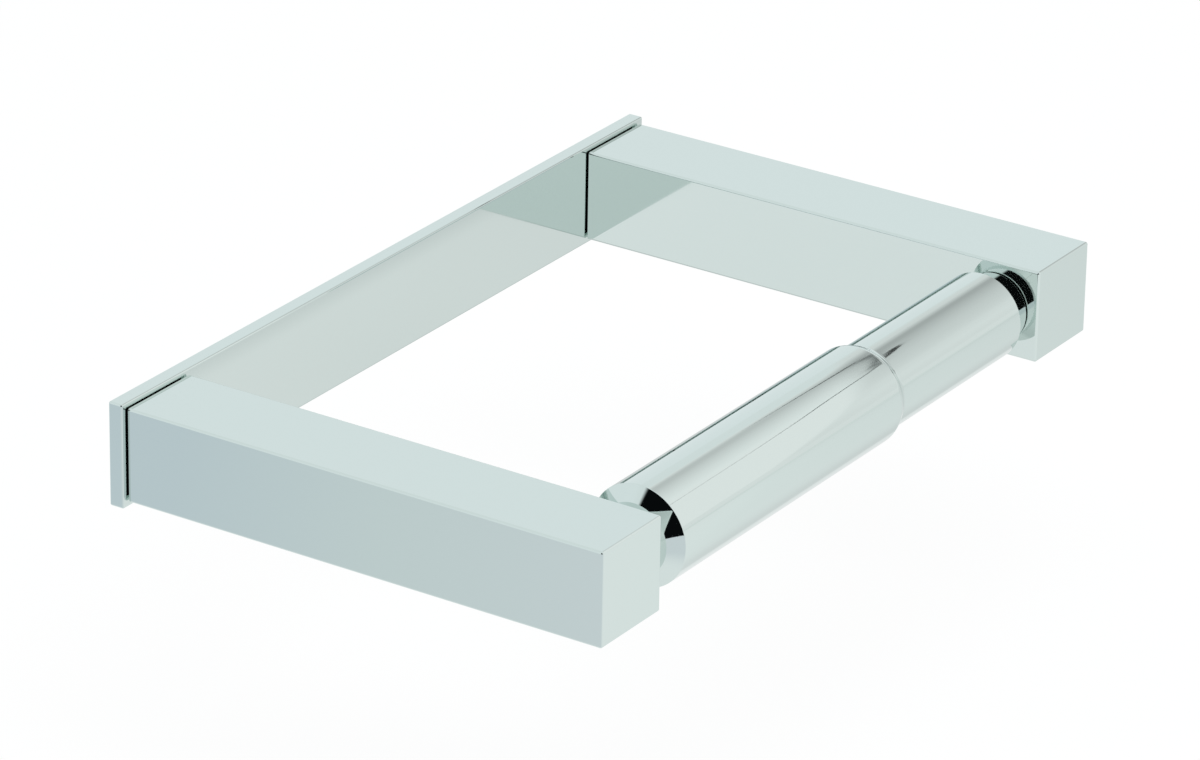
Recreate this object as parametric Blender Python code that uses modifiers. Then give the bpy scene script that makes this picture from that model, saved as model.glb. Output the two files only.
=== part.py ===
"""Wall-mounted toilet roll holder: a flat wall plate, two square arms and a sprung telescopic roller.

X runs along the wall plate, +Y points into the wall and +Z is up. The origin is the middle of the
plate's back face. The arms reach out along -Y, and the roller turns about a line along X.
"""

import math

import bmesh
import bpy
from mathutils import Vector

MM = 0.001

# Overall sizes
PROJECTION = 102.5 * MM
PLATE_LENGTH = 165.0 * MM
PLATE_HEIGHT = 20.0 * MM
PLATE_THICKNESS = 3.0 * MM
PLATE_OVERHANG = 1.2 * MM
PLATE_EDGE_RADIUS = 0.35 * MM

# Arms
ARM_WIDTH = 18.0 * MM
ARM_HEIGHT = 18.0 * MM
ARM_WALL = 1.5 * MM
ARM_EDGE_RADIUS = 0.45 * MM
CAP_THICKNESS = 2.0 * MM
CAP_SPIGOT_LENGTH = 3.0 * MM

# Clearances
JOINT_GAP = 0.3 * MM
RUNNING_GAP = 0.15 * MM
CUT_OVERRUN = 1.0 * MM
MERGE_DISTANCE = 0.01 * MM

# Fixing blocks and their screws
BLOCK_LENGTH = 16.0 * MM
WALL_SCREW_HOLE_RADIUS = 2.4 * MM
WALL_SCREW_HEAD_RADIUS = 4.4 * MM
BLOCK_FLOOR = 3.0 * MM
BLOCK_SCREW_INSET = 2.3 * MM
BLOCK_SCREW_RADIUS = 1.5 * MM
BLOCK_SCREW_HEAD_RADIUS = 2.8 * MM
BLOCK_SCREW_HEAD_HEIGHT = 1.5 * MM
BLOCK_SCREW_LENGTH = 9.0 * MM
GRUB_RADIUS = 2.0 * MM
GRUB_LENGTH = 3.0 * MM
GRUB_TIP_LENGTH = 0.7 * MM
GRUB_SETBACK = 8.0 * MM
GRUB_RECESS = 0.1 * MM
SOCKET_SIDES = 6
BLOCK_SOCKET_RADIUS = 1.15 * MM
BLOCK_SOCKET_DEPTH = 0.9 * MM
GRUB_SOCKET_RADIUS = 1.1 * MM
GRUB_SOCKET_DEPTH = 1.2 * MM

# Roller
ROLLER_SETBACK = 9.0 * MM
WIDE_END_GAP = 6.8 * MM
NARROW_END_GAP = 5.3 * MM
OUTER_TUBE_RADIUS = 9.6 * MM
OUTER_TUBE_WALL = 0.7 * MM
OUTER_TUBE_LENGTH = 70.8 * MM
SHOULDER_LENGTH = 3.0 * MM
MOUTH_GAP = 0.1 * MM
MOUTH_EDGE = 0.08 * MM
SLEEVE_GAP = 0.4 * MM
INNER_TUBE_WALL = 0.8 * MM
INNER_TUBE_OVERLAP = 25.0 * MM
END_CAP_FLANGE = 2.4 * MM
END_CONE_LENGTH = 1.75 * MM
END_CAP_PLUG_LENGTH = 8.0 * MM
NECK_RADIUS = 6.8 * MM
NECK_EDGE = 0.15 * MM
PIN_RADIUS = 3.3 * MM
PIN_LENGTH = 5.0 * MM
PIN_CHAMFER = 0.6 * MM
PIN_END_GAP = 0.7 * MM

# Bushes
BUSH_WALL = 1.2 * MM
BUSH_BOTTOM = 1.0 * MM

# Guide plug and spring
GUIDE_COLLAR_LENGTH = 5.0 * MM
GUIDE_PLUG_LENGTH = 8.0 * MM
SPIGOT_RADIUS = 4.0 * MM
SPIGOT_LENGTH = 4.0 * MM
SPRING_WIRE = 1.0 * MM
SPRING_SIDE_GAP = 0.7 * MM
SPRING_TURNS = 9
SPRING_POINTS_PER_TURN = 10

# Smoothness of round shapes
TUBE_STEPS = 48
SMALL_STEPS = 32
SCREW_STEPS = 20
ARC_STEPS = 4
SHOULDER_STEPS = 8
SHARP_ANGLE = math.radians(30)

# Places that follow from the sizes
OUTER_SPAN = PLATE_LENGTH - 2 * PLATE_OVERHANG
ARM_X = OUTER_SPAN / 2 - ARM_WIDTH / 2
ARM_INNER_X = OUTER_SPAN / 2 - ARM_WIDTH
ARM_BACK_Y = -(PLATE_THICKNESS + JOINT_GAP)
ARM_FRONT_Y = -PROJECTION
CAVITY_WIDTH = ARM_WIDTH - 2 * ARM_WALL
CAVITY_HEIGHT = ARM_HEIGHT - 2 * ARM_WALL
BLOCK_WIDTH = CAVITY_WIDTH - 2 * JOINT_GAP
BLOCK_HEIGHT = CAVITY_HEIGHT - 2 * JOINT_GAP
BLOCK_SCREW_X = BLOCK_WIDTH / 2 - BLOCK_SCREW_INSET
BLOCK_SCREW_Z = BLOCK_HEIGHT / 2 - BLOCK_SCREW_INSET
GRUB_Y = ARM_BACK_Y - GRUB_SETBACK
GRUB_BOTTOM_Z = -ARM_HEIGHT / 2 + GRUB_RECESS
GRUB_TOP_Z = GRUB_BOTTOM_Z + GRUB_LENGTH
AXIS_Y = ARM_FRONT_Y + ROLLER_SETBACK
OUTER_BORE = OUTER_TUBE_RADIUS - OUTER_TUBE_WALL
INNER_TUBE_RADIUS = OUTER_BORE - SLEEVE_GAP
INNER_BORE = INNER_TUBE_RADIUS - INNER_TUBE_WALL
WIDE_END_X = -(ARM_INNER_X - WIDE_END_GAP)
NARROW_END_X = ARM_INNER_X - NARROW_END_GAP
OUTER_TUBE_START_X = WIDE_END_X + END_CAP_FLANGE + JOINT_GAP
LIP_X = OUTER_TUBE_START_X + OUTER_TUBE_LENGTH
INNER_TUBE_START_X = LIP_X - INNER_TUBE_OVERLAP
INNER_TUBE_END_X = NARROW_END_X - END_CAP_FLANGE - JOINT_GAP
BUSH_MOUTH_X = ARM_INNER_X
NECK_END_X = BUSH_MOUTH_X - JOINT_GAP
BUSH_BORE = PIN_RADIUS + RUNNING_GAP
BUSH_BODY = BUSH_BORE + BUSH_WALL
BUSH_DEPTH = PIN_LENGTH - JOINT_GAP + PIN_END_GAP
BUSH_END_X = BUSH_MOUTH_X + BUSH_DEPTH + BUSH_BOTTOM
WIDE_PLUG_END_X = WIDE_END_X + END_CAP_FLANGE + END_CAP_PLUG_LENGTH
GUIDE_FACE_X = INNER_TUBE_START_X - JOINT_GAP - GUIDE_COLLAR_LENGTH
SPRING_START_X = WIDE_PLUG_END_X + JOINT_GAP
SPRING_END_X = GUIDE_FACE_X - JOINT_GAP
SPRING_RADIUS = SPIGOT_RADIUS + SPRING_SIDE_GAP + SPRING_WIRE / 2


def clear_scene():
    for item in list(bpy.data.objects):
        bpy.data.objects.remove(item, do_unlink=True)


def new_collection(name):
    collection = bpy.data.collections.new(name)
    bpy.context.scene.collection.children.link(collection)
    return collection


def new_material(name, colour, roughness, metallic):
    material = bpy.data.materials.new(name)
    material.use_nodes = True
    shader = material.node_tree.nodes["Principled BSDF"]
    shader.inputs["Base Color"].default_value = (*colour, 1.0)
    shader.inputs["Roughness"].default_value = roughness
    shader.inputs["Metallic"].default_value = metallic
    return material


clear_scene()
HOLDER = new_collection("toilet_roll_holder")
CUTTERS = new_collection("cutters")


def chrome(name):
    return new_material(name, (0.78, 0.82, 0.81), 0.05, 1.0)


def brass(name):
    return new_material(name, (0.76, 0.6, 0.31), 0.35, 1.0)


def steel(name):
    return new_material(name, (0.42, 0.42, 0.43), 0.3, 1.0)


def nylon(name):
    return new_material(name, (0.85, 0.85, 0.82), 0.5, 0.0)


def empty(name, location, parent=None):
    holder = bpy.data.objects.new(name, None)
    holder.empty_display_size = ARM_WIDTH
    holder.parent = parent
    holder.location = location
    HOLDER.objects.link(holder)
    return holder


def add_object(name, data, parent=None, location=(0, 0, 0), rotation=(0, 0, 0), material=None):
    item = bpy.data.objects.new(name, data)
    item.parent = parent
    item.location = location
    item.rotation_euler = rotation
    if material:
        data.materials.append(material)
    HOLDER.objects.link(item)
    return item


def make_cutter(item):
    HOLDER.objects.unlink(item)
    CUTTERS.objects.link(item)
    item.hide_render = True
    item.display_type = "WIRE"
    return item


def cut(item, cutter):
    modifier = item.modifiers.new("cut_" + cutter.name, "BOOLEAN")
    modifier.operation = "DIFFERENCE"
    modifier.solver = "EXACT"
    modifier.object = cutter


# A box of a given size about its own centre. Edges along the named axes get a bevel weight.
def box_mesh(name, size, rounded_axes=""):
    shape = bmesh.new()
    bmesh.ops.create_cube(shape, size=1.0)
    bmesh.ops.scale(shape, vec=Vector(size), verts=shape.verts)
    weights = shape.edges.layers.float.new("bevel_weight_edge")
    for edge in shape.edges:
        along = edge.verts[1].co - edge.verts[0].co
        longest = max(range(3), key=lambda axis: abs(along[axis]))
        edge[weights] = 1.0 if "XYZ"[longest] in rounded_axes else 0.0
    mesh = bpy.data.meshes.new(name)
    shape.to_mesh(mesh)
    shape.free()
    return mesh


def round_edges(item, radius):
    modifier = item.modifiers.new("rounded_edges", "BEVEL")
    modifier.limit_method = "WEIGHT"
    modifier.width = radius
    modifier.segments = ARC_STEPS
    modifier.use_clamp_overlap = True


def box(name, size, centre, material=None, rounded_axes="", radius=0):
    item = add_object(name, box_mesh(name, size, rounded_axes), location=centre, material=material)
    if rounded_axes:
        round_edges(item, radius)
    return item


def box_cutter(name, size, centre):
    return make_cutter(box(name, size, centre))


# A profile of (radius, height) points turned about local Z. It runs down its outer side.
def turned(name, profile, steps, closed=False, **placing):
    mesh = bpy.data.meshes.new(name)
    points = [(radius, 0, height) for radius, height in profile]
    edges = [(index, index + 1) for index in range(len(points) - 1)]
    if closed:
        edges.append((len(points) - 1, 0))
    mesh.from_pydata(points, edges, [])
    item = add_object(name, mesh, **placing)
    screw = item.modifiers.new("turn", "SCREW")
    screw.axis = "Z"
    screw.steps = steps
    screw.render_steps = steps
    screw.use_merge_vertices = True
    screw.merge_threshold = MERGE_DISTANCE
    screw.use_smooth_shade = True
    return item


def cylinder_cutter(name, radius, bottom, top, **placing):
    profile = [(0, top), (radius, top), (radius, bottom), (0, bottom)]
    return make_cutter(turned(name, profile, SMALL_STEPS, **placing))


# A regular prism that cuts a driver socket downwards from a screw's top face.
def socket_cutter(name, radius, depth, top, **placing):
    shape = bmesh.new()
    height = depth + CUT_OVERRUN
    bmesh.ops.create_cone(
        shape,
        cap_ends=True,
        segments=SOCKET_SIDES,
        radius1=radius,
        radius2=radius,
        depth=height,
    )
    bmesh.ops.translate(shape, vec=Vector((0, 0, top - depth + height / 2)), verts=shape.verts)
    mesh = bpy.data.meshes.new(name)
    shape.to_mesh(mesh)
    shape.free()
    return make_cutter(add_object(name, mesh, **placing))


# Rotations that point local Z along a world axis
TO_WALL = (-math.pi / 2, 0, 0)
TO_RIGHT = (0, math.pi / 2, 0)
TO_LEFT = (0, -math.pi / 2, 0)
UPRIGHT = (0, 0, 0)
DOWNWARD = (math.pi, 0, 0)

SIDES = {"left": -1, "right": 1}
LEVELS = {"upper": 1, "lower": -1}


# Each block screw sits in a corner of the block, upper ones outward and lower ones inward.
def block_screw_place(side, level):
    return (side * (ARM_X + level * BLOCK_SCREW_X), level * BLOCK_SCREW_Z)


# A plain cone from above the plate's back down to the shank's hole.
def countersink_profile():
    hole = BLOCK_SCREW_RADIUS + JOINT_GAP
    throat = -BLOCK_SCREW_HEAD_HEIGHT - JOINT_GAP
    slope = (BLOCK_SCREW_HEAD_RADIUS - BLOCK_SCREW_RADIUS) / BLOCK_SCREW_HEAD_HEIGHT
    mouth = hole + slope * (CUT_OVERRUN - throat)
    bottom = -PLATE_THICKNESS - CUT_OVERRUN
    return [(0, CUT_OVERRUN), (mouth, CUT_OVERRUN), (hole, throat), (hole, bottom), (0, bottom)]


def back_plate():
    size = (PLATE_LENGTH, PLATE_THICKNESS, PLATE_HEIGHT)
    centre = (0, -PLATE_THICKNESS / 2, 0)
    plate = box("back_plate", size, centre, chrome("plate_chrome"), "XYZ", PLATE_EDGE_RADIUS)
    for side_name, side in SIDES.items():
        hole = cylinder_cutter(
            side_name + "_wall_screw_hole",
            WALL_SCREW_HOLE_RADIUS,
            -PLATE_THICKNESS - CUT_OVERRUN,
            CUT_OVERRUN,
            location=(side * ARM_X, 0, 0),
            rotation=TO_WALL,
        )
        cut(plate, hole)
        for level_name, level in LEVELS.items():
            x, z = block_screw_place(side, level)
            name = side_name + "_" + level_name + "_countersink"
            profile = countersink_profile()
            sink = turned(name, profile, SMALL_STEPS, location=(x, 0, z), rotation=TO_WALL)
            cut(plate, make_cutter(sink))
    return plate


def fixing_block(side_name, side):
    size = (BLOCK_WIDTH, BLOCK_LENGTH, BLOCK_HEIGHT)
    centre = (side * ARM_X, ARM_BACK_Y - BLOCK_LENGTH / 2, 0)
    block = box(side_name + "_fixing_block", size, centre, brass(side_name + "_block_brass"))
    front = ARM_BACK_Y - BLOCK_LENGTH
    place = (side * ARM_X, 0, 0)
    hole = cylinder_cutter(
        side_name + "_block_hole",
        WALL_SCREW_HOLE_RADIUS,
        front - CUT_OVERRUN,
        ARM_BACK_Y + CUT_OVERRUN,
        location=place,
        rotation=TO_WALL,
    )
    counterbore = cylinder_cutter(
        side_name + "_block_counterbore",
        WALL_SCREW_HEAD_RADIUS,
        front - CUT_OVERRUN,
        ARM_BACK_Y - BLOCK_FLOOR,
        location=place,
        rotation=TO_WALL,
    )
    cut(block, hole)
    cut(block, counterbore)
    for level_name, level in LEVELS.items():
        x, z = block_screw_place(side, level)
        thread = cylinder_cutter(
            side_name + "_" + level_name + "_block_thread",
            BLOCK_SCREW_RADIUS + JOINT_GAP,
            -BLOCK_SCREW_LENGTH - 2 * JOINT_GAP,
            ARM_BACK_Y + CUT_OVERRUN,
            location=(x, 0, z),
            rotation=TO_WALL,
        )
        cut(block, thread)
    seat = cylinder_cutter(
        side_name + "_grub_seat",
        GRUB_RADIUS + JOINT_GAP,
        -BLOCK_HEIGHT / 2 - CUT_OVERRUN,
        GRUB_TOP_Z + JOINT_GAP,
        location=(side * ARM_X, GRUB_Y, 0),
        rotation=UPRIGHT,
    )
    cut(block, seat)
    return block


def block_screw(side_name, side, level_name, level):
    x, z = block_screw_place(side, level)
    name = side_name + "_" + level_name + "_block_screw"
    top = -JOINT_GAP
    profile = [(0, top), (BLOCK_SCREW_HEAD_RADIUS, top)]
    profile += [(BLOCK_SCREW_RADIUS, top - BLOCK_SCREW_HEAD_HEIGHT)]
    profile += [(BLOCK_SCREW_RADIUS, -BLOCK_SCREW_LENGTH), (0, -BLOCK_SCREW_LENGTH)]
    placing = {"location": (x, 0, z), "rotation": TO_WALL}
    screw = turned(name, profile, SCREW_STEPS, material=steel(name + "_steel"), **placing)
    cut(screw, socket_cutter(name + "_socket", BLOCK_SOCKET_RADIUS, BLOCK_SOCKET_DEPTH, top, **placing))
    return screw


# The grub screw points upwards, with its socket at the arm's underside.
def grub_screw(side_name, side):
    name = side_name + "_grub_screw"
    tip = GRUB_RADIUS / 2
    profile = [(0, 0), (GRUB_RADIUS, 0), (GRUB_RADIUS, GRUB_TIP_LENGTH - GRUB_LENGTH)]
    profile += [(tip, -GRUB_LENGTH), (0, -GRUB_LENGTH)]
    placing = {"location": (side * ARM_X, GRUB_Y, GRUB_BOTTOM_Z), "rotation": DOWNWARD}
    screw = turned(name, profile, SCREW_STEPS, material=steel(name + "_steel"), **placing)
    cut(screw, socket_cutter(name + "_socket", GRUB_SOCKET_RADIUS, GRUB_SOCKET_DEPTH, 0, **placing))
    return screw


def arm(side_name, side):
    tube_front = ARM_FRONT_Y + CAP_THICKNESS + JOINT_GAP
    length = ARM_BACK_Y - tube_front
    centre = (side * ARM_X, tube_front + length / 2, 0)
    name = side_name + "_arm"
    tube = box(name, (ARM_WIDTH, length, ARM_HEIGHT), centre, chrome(name + "_chrome"), "Y", ARM_EDGE_RADIUS)
    cavity_size = (CAVITY_WIDTH, length + 2 * CUT_OVERRUN, CAVITY_HEIGHT)
    cut(tube, box_cutter(name + "_cavity", cavity_size, centre))
    bush_hole = cylinder_cutter(
        name + "_bush_hole",
        BUSH_BODY + JOINT_GAP,
        -ARM_WALL - CUT_OVERRUN,
        CUT_OVERRUN,
        location=(side * ARM_INNER_X, AXIS_Y, 0),
        rotation=TO_RIGHT if side < 0 else TO_LEFT,
    )
    cut(tube, bush_hole)
    grub_hole = cylinder_cutter(
        name + "_grub_hole",
        GRUB_RADIUS + JOINT_GAP,
        -ARM_HEIGHT / 2 - CUT_OVERRUN,
        -CAVITY_HEIGHT / 2 + CUT_OVERRUN,
        location=(side * ARM_X, GRUB_Y, 0),
        rotation=UPRIGHT,
    )
    cut(tube, grub_hole)
    return tube


# The front cap is a plate over the arm's end. Its spigot, joined on behind, stands clear of the bush.
def arm_cap(side_name, side):
    name = side_name + "_arm_cap"
    size = (ARM_WIDTH, CAP_THICKNESS, ARM_HEIGHT)
    centre = (side * ARM_X, ARM_FRONT_Y + CAP_THICKNESS / 2, 0)
    cap = box(name, size, centre, chrome(name + "_chrome"), "Y", ARM_EDGE_RADIUS)
    spigot_depth = CAP_SPIGOT_LENGTH + CAP_THICKNESS / 2
    inner_x = BUSH_END_X + JOINT_GAP
    outer_x = ARM_X + BLOCK_WIDTH / 2
    spigot_size = (outer_x - inner_x, spigot_depth, BLOCK_HEIGHT)
    spigot_y = ARM_FRONT_Y + CAP_THICKNESS / 2 + spigot_depth / 2
    spigot_centre = (side * (inner_x + outer_x) / 2, spigot_y, 0)
    spigot = box_cutter(name + "_spigot", spigot_size, spigot_centre)
    join = cap.modifiers.new("join_spigot", "BOOLEAN")
    join.operation = "UNION"
    join.solver = "EXACT"
    join.object = spigot
    return cap


# The bush is pressed in flush with the arm's inner face, and the roller's neck hides it.
def pin_bush(side_name, side):
    bottom = -BUSH_DEPTH
    profile = [(0, bottom), (BUSH_BORE, bottom), (BUSH_BORE, 0), (BUSH_BODY, 0)]
    profile += [(BUSH_BODY, bottom - BUSH_BOTTOM), (0, bottom - BUSH_BOTTOM)]
    name = side_name + "_pin_bush"
    rotation = TO_RIGHT if side < 0 else TO_LEFT
    place = (side * BUSH_MOUTH_X, AXIS_Y, 0)
    return turned(
        name, profile, SMALL_STEPS, location=place, rotation=rotation, material=chrome(name + "_chrome")
    )


# An end cap stands on the end of its tube. Height 0 is the foot of its cone, with neck and pin above.
def end_cap(name, tube_radius, tube_bore, neck_length, **placing):
    pin_top = neck_length + PIN_LENGTH
    plug = tube_bore - JOINT_GAP
    plug_end = -END_CAP_FLANGE - END_CAP_PLUG_LENGTH
    profile = [(0, pin_top), (PIN_RADIUS - PIN_CHAMFER, pin_top), (PIN_RADIUS, pin_top - PIN_CHAMFER)]
    profile += [(PIN_RADIUS, neck_length), (NECK_RADIUS - NECK_EDGE, neck_length)]
    profile += [(NECK_RADIUS, neck_length - NECK_EDGE), (NECK_RADIUS, END_CONE_LENGTH), (tube_radius, 0)]
    profile += [(tube_radius, -END_CAP_FLANGE), (plug, -END_CAP_FLANGE), (plug, plug_end)]
    profile += [(SPIGOT_RADIUS, plug_end), (SPIGOT_RADIUS, plug_end - SPIGOT_LENGTH)]
    profile += [(0, plug_end - SPIGOT_LENGTH)]
    return turned(name, profile, TUBE_STEPS, material=chrome(name + "_chrome"), **placing)


# A soft shoulder, half a cosine wave, from the mouth's radius at the lip out to the tube's.
def shoulder(mouth_radius, tube_radius, lip, length):
    points = []
    for step in range(SHOULDER_STEPS + 1):
        share = step / SHOULDER_STEPS
        swell = (1 - math.cos(math.pi * share)) / 2
        points.append((mouth_radius + (tube_radius - mouth_radius) * swell, lip - length * share))
    return points


# The wider tube is drawn in at its mouth, down to a thin edge round the narrower one.
def roller_outer_tube(axis):
    start = OUTER_TUBE_START_X
    mouth_bore = INNER_TUBE_RADIUS + MOUTH_GAP
    profile = [(mouth_bore, LIP_X)]
    profile += shoulder(mouth_bore + MOUTH_EDGE, OUTER_TUBE_RADIUS, LIP_X, SHOULDER_LENGTH)
    profile += [(OUTER_TUBE_RADIUS, start), (OUTER_BORE, start)]
    profile += [(OUTER_BORE, LIP_X - SHOULDER_LENGTH), (mouth_bore, LIP_X - SHOULDER_LENGTH)]
    name = "roller_outer_tube"
    material = chrome(name + "_chrome")
    return turned(
        name, profile, TUBE_STEPS, closed=True, parent=axis, rotation=TO_RIGHT, material=material
    )


def roller_inner_tube(slide):
    top = INNER_TUBE_END_X
    bottom = INNER_TUBE_START_X
    outer = INNER_TUBE_RADIUS
    profile = [(INNER_BORE, top), (outer, top), (outer, bottom), (INNER_BORE, bottom)]
    name = "roller_inner_tube"
    material = chrome(name + "_chrome")
    return turned(
        name, profile, TUBE_STEPS, closed=True, parent=slide, rotation=TO_RIGHT, material=material
    )


# The plug is pressed into the narrower tube, and its collar runs in the wider one.
def guide_plug(slide):
    collar = OUTER_BORE - RUNNING_GAP
    plug = INNER_BORE - JOINT_GAP
    top = INNER_TUBE_START_X + GUIDE_PLUG_LENGTH
    collar_top = INNER_TUBE_START_X - JOINT_GAP
    profile = [(0, top), (plug, top), (plug, collar_top), (collar, collar_top), (collar, GUIDE_FACE_X)]
    profile += [(SPIGOT_RADIUS, GUIDE_FACE_X), (SPIGOT_RADIUS, GUIDE_FACE_X - SPIGOT_LENGTH)]
    profile += [(0, GUIDE_FACE_X - SPIGOT_LENGTH)]
    name = "roller_guide_plug"
    return turned(
        name, profile, TUBE_STEPS, parent=slide, rotation=TO_RIGHT, material=nylon(name + "_nylon")
    )


# The spring's wire: a helix between its two seats, with a straight end of one wire at each.
def spring_points():
    low = SPRING_START_X + SPRING_WIRE
    high = SPRING_END_X - SPRING_WIRE
    count = SPRING_TURNS * SPRING_POINTS_PER_TURN
    points = [Vector((SPRING_START_X, SPRING_RADIUS, 0))]
    for index in range(count + 1):
        angle = 2 * math.pi * index / SPRING_POINTS_PER_TURN
        along = low + (high - low) * index / count
        points.append(Vector((along, SPRING_RADIUS * math.cos(angle), SPRING_RADIUS * math.sin(angle))))
    points.append(Vector((SPRING_END_X, SPRING_RADIUS, 0)))
    return points


# The least clear space between one part of the wire and another, a half turn or more away.
def least_gap(points):
    away = SPRING_POINTS_PER_TURN // 2
    least = min(
        (points[first] - points[second]).length
        for first in range(len(points))
        for second in range(first + away, len(points))
    )
    return least - SPRING_WIRE


def roller_spring(axis):
    points = spring_points()
    print("spring wire's least gap to itself, mm:", round(least_gap(points) / MM, 2))
    curve = bpy.data.curves.new("roller_spring", "CURVE")
    curve.dimensions = "3D"
    curve.bevel_depth = SPRING_WIRE / 2
    curve.bevel_resolution = 1
    curve.use_fill_caps = True
    spline = curve.splines.new("POLY")
    spline.points.add(len(points) - 1)
    for target, point in zip(spline.points, points):
        target.co = (*point, 1.0)
    return add_object("roller_spring", curve, parent=axis, material=steel("spring_steel"))


def smooth_round_pieces():
    for item in HOLDER.objects:
        if item.type == "MESH" and item.modifiers and item.modifiers[0].type == "SCREW":
            item.data.set_sharp_from_angle(angle=SHARP_ANGLE)


def build_frame():
    back_plate()
    for side_name, side in SIDES.items():
        fixing_block(side_name, side)
        for level_name, level in LEVELS.items():
            block_screw(side_name, side, level_name, level)
        grub_screw(side_name, side)
        arm(side_name, side)
        arm_cap(side_name, side)
        pin_bush(side_name, side)


def build_roller():
    axis = empty("roller_axis", (0, AXIS_Y, 0))
    slide = empty("roller_slide", (0, 0, 0), axis)
    roller_outer_tube(axis)
    end_cap(
        "roller_outer_cap",
        OUTER_TUBE_RADIUS,
        OUTER_BORE,
        NECK_END_X + WIDE_END_X,
        parent=axis,
        location=(WIDE_END_X, 0, 0),
        rotation=TO_LEFT,
    )
    roller_spring(axis)
    roller_inner_tube(slide)
    end_cap(
        "roller_inner_cap",
        INNER_TUBE_RADIUS,
        INNER_BORE,
        NECK_END_X - NARROW_END_X,
        parent=slide,
        location=(NARROW_END_X, 0, 0),
        rotation=TO_RIGHT,
    )
    guide_plug(slide)


build_frame()
build_roller()
smooth_round_pieces()
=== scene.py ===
import math

import bpy
import numpy as np
from mathutils import Matrix, Vector


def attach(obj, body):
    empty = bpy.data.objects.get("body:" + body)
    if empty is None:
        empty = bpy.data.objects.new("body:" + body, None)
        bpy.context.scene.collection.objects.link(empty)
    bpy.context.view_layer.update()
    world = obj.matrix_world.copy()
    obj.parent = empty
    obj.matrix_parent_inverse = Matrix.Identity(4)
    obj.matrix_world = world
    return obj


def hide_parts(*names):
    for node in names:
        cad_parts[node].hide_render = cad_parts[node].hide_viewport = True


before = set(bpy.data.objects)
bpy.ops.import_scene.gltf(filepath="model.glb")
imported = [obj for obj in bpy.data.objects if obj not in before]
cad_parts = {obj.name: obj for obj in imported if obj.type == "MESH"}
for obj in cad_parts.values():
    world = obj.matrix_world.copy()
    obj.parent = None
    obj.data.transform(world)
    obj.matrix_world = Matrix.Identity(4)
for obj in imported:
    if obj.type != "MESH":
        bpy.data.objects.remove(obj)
scene = bpy.context.scene
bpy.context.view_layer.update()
mm = 0.001  # everything below is written in millimetres and times this
print("packed model loaded,", len(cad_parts), "pieces")


# camera, at the photograph's angle
photoCamera = {
    "azimuth": -56.85,  # degrees, 0 looks at the wall and a minus sign stands to its left
    "elevation": 24.27,
    "roll": 1.02,
    "distance": 1224.07,
    "right": 40.076,
    "up": -14.765,
    "lens": 199.6,
    "sensor": 36.0,
    "nearest": 10.0,
    "farthest": 50000.0,
}


def placeCamera():
    # back points from the object to the camera: (sin az cos el, -cos az cos el, sin el). Right is level
    # across it, and both turn by the roll: right cos r + up sin r, and up cos r - right sin r
    azimuth, elevation, roll = (math.radians(photoCamera[key]) for key in ("azimuth", "elevation", "roll"))
    back = Vector((math.sin(azimuth) * math.cos(elevation),
                   -math.cos(azimuth) * math.cos(elevation), math.sin(elevation)))
    level = Vector((0, 0, 1)).cross(back).normalized()
    upright = back.cross(level)
    right = level * math.cos(roll) + upright * math.sin(roll)
    up = upright * math.cos(roll) - level * math.sin(roll)
    place = right * photoCamera["right"] + up * photoCamera["up"] + back * photoCamera["distance"]
    lens = bpy.data.cameras.new("photoCamera")
    lens.lens = photoCamera["lens"]
    lens.sensor_width = photoCamera["sensor"]
    lens.clip_start = photoCamera["nearest"] * mm
    lens.clip_end = photoCamera["farthest"] * mm
    camera = bpy.data.objects.new("photoCamera", lens)
    camera.matrix_world = Matrix.Translation(place * mm) @ Matrix((right, up, back)).transposed().to_4x4()
    scene.collection.objects.link(camera)
    scene.camera = camera


placeCamera()
print("camera placed")


# finishes

def linear(hexColour):
    # sRGB to linear: value / 12.92 below 0.04045, else ((value + 0.055) / 1.055) to the power 2.4
    value = np.array([int(hexColour[i:i + 2], 16) for i in (1, 3, 5)]) / 255
    return (*np.where(value <= 0.04045, value / 12.92, ((value + 0.055) / 1.055) ** 2.4), 1.0)


def addNode(tree, kind, settings=None, links=None):
    # settings go to the node's own attributes or else to its sockets, and a ramp's stops are (share, colour)
    # pairs; links join a socket to another node's output
    node = tree.nodes.new(kind)
    for key, value in (settings or {}).items():
        if key == "stops":
            elements = node.color_ramp.elements
            elements.remove(elements[-1])
            elements[0].position, elements[0].color = value[0]
            for share, colour in value[1:]:
                elements.new(share).color = colour
        elif isinstance(key, str) and hasattr(node, key):
            setattr(node, key, value)
        else:
            node.inputs[key].default_value = value
    for key, output in (links or {}).items():
        tree.links.new(output, node.inputs[key])
    return node


def emptyMaterial(name):
    # a new material and its node tree, with nothing in it yet
    material = bpy.data.materials.new(name)
    material.use_nodes = True
    material.node_tree.nodes.clear()
    return material, material.node_tree


# the sockets of a Mix node that mixes colours: its share, its two colours and its result
mixShare, mixFirst, mixSecond, mixResult = 0, 6, 7, 2

chromeLook = {
    "colour": "#D7E1DE",
    "roughness": 0.03,
    "hazeRoughness": 0.06,
    "hazeSize": 25.0,
    "hazeSpread": (0.4, 0.7),  # the pattern's values between which the mirror turns hazy
    "rippleSize": 6.0,
    "rippleHeight": 0.0001,
}


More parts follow.
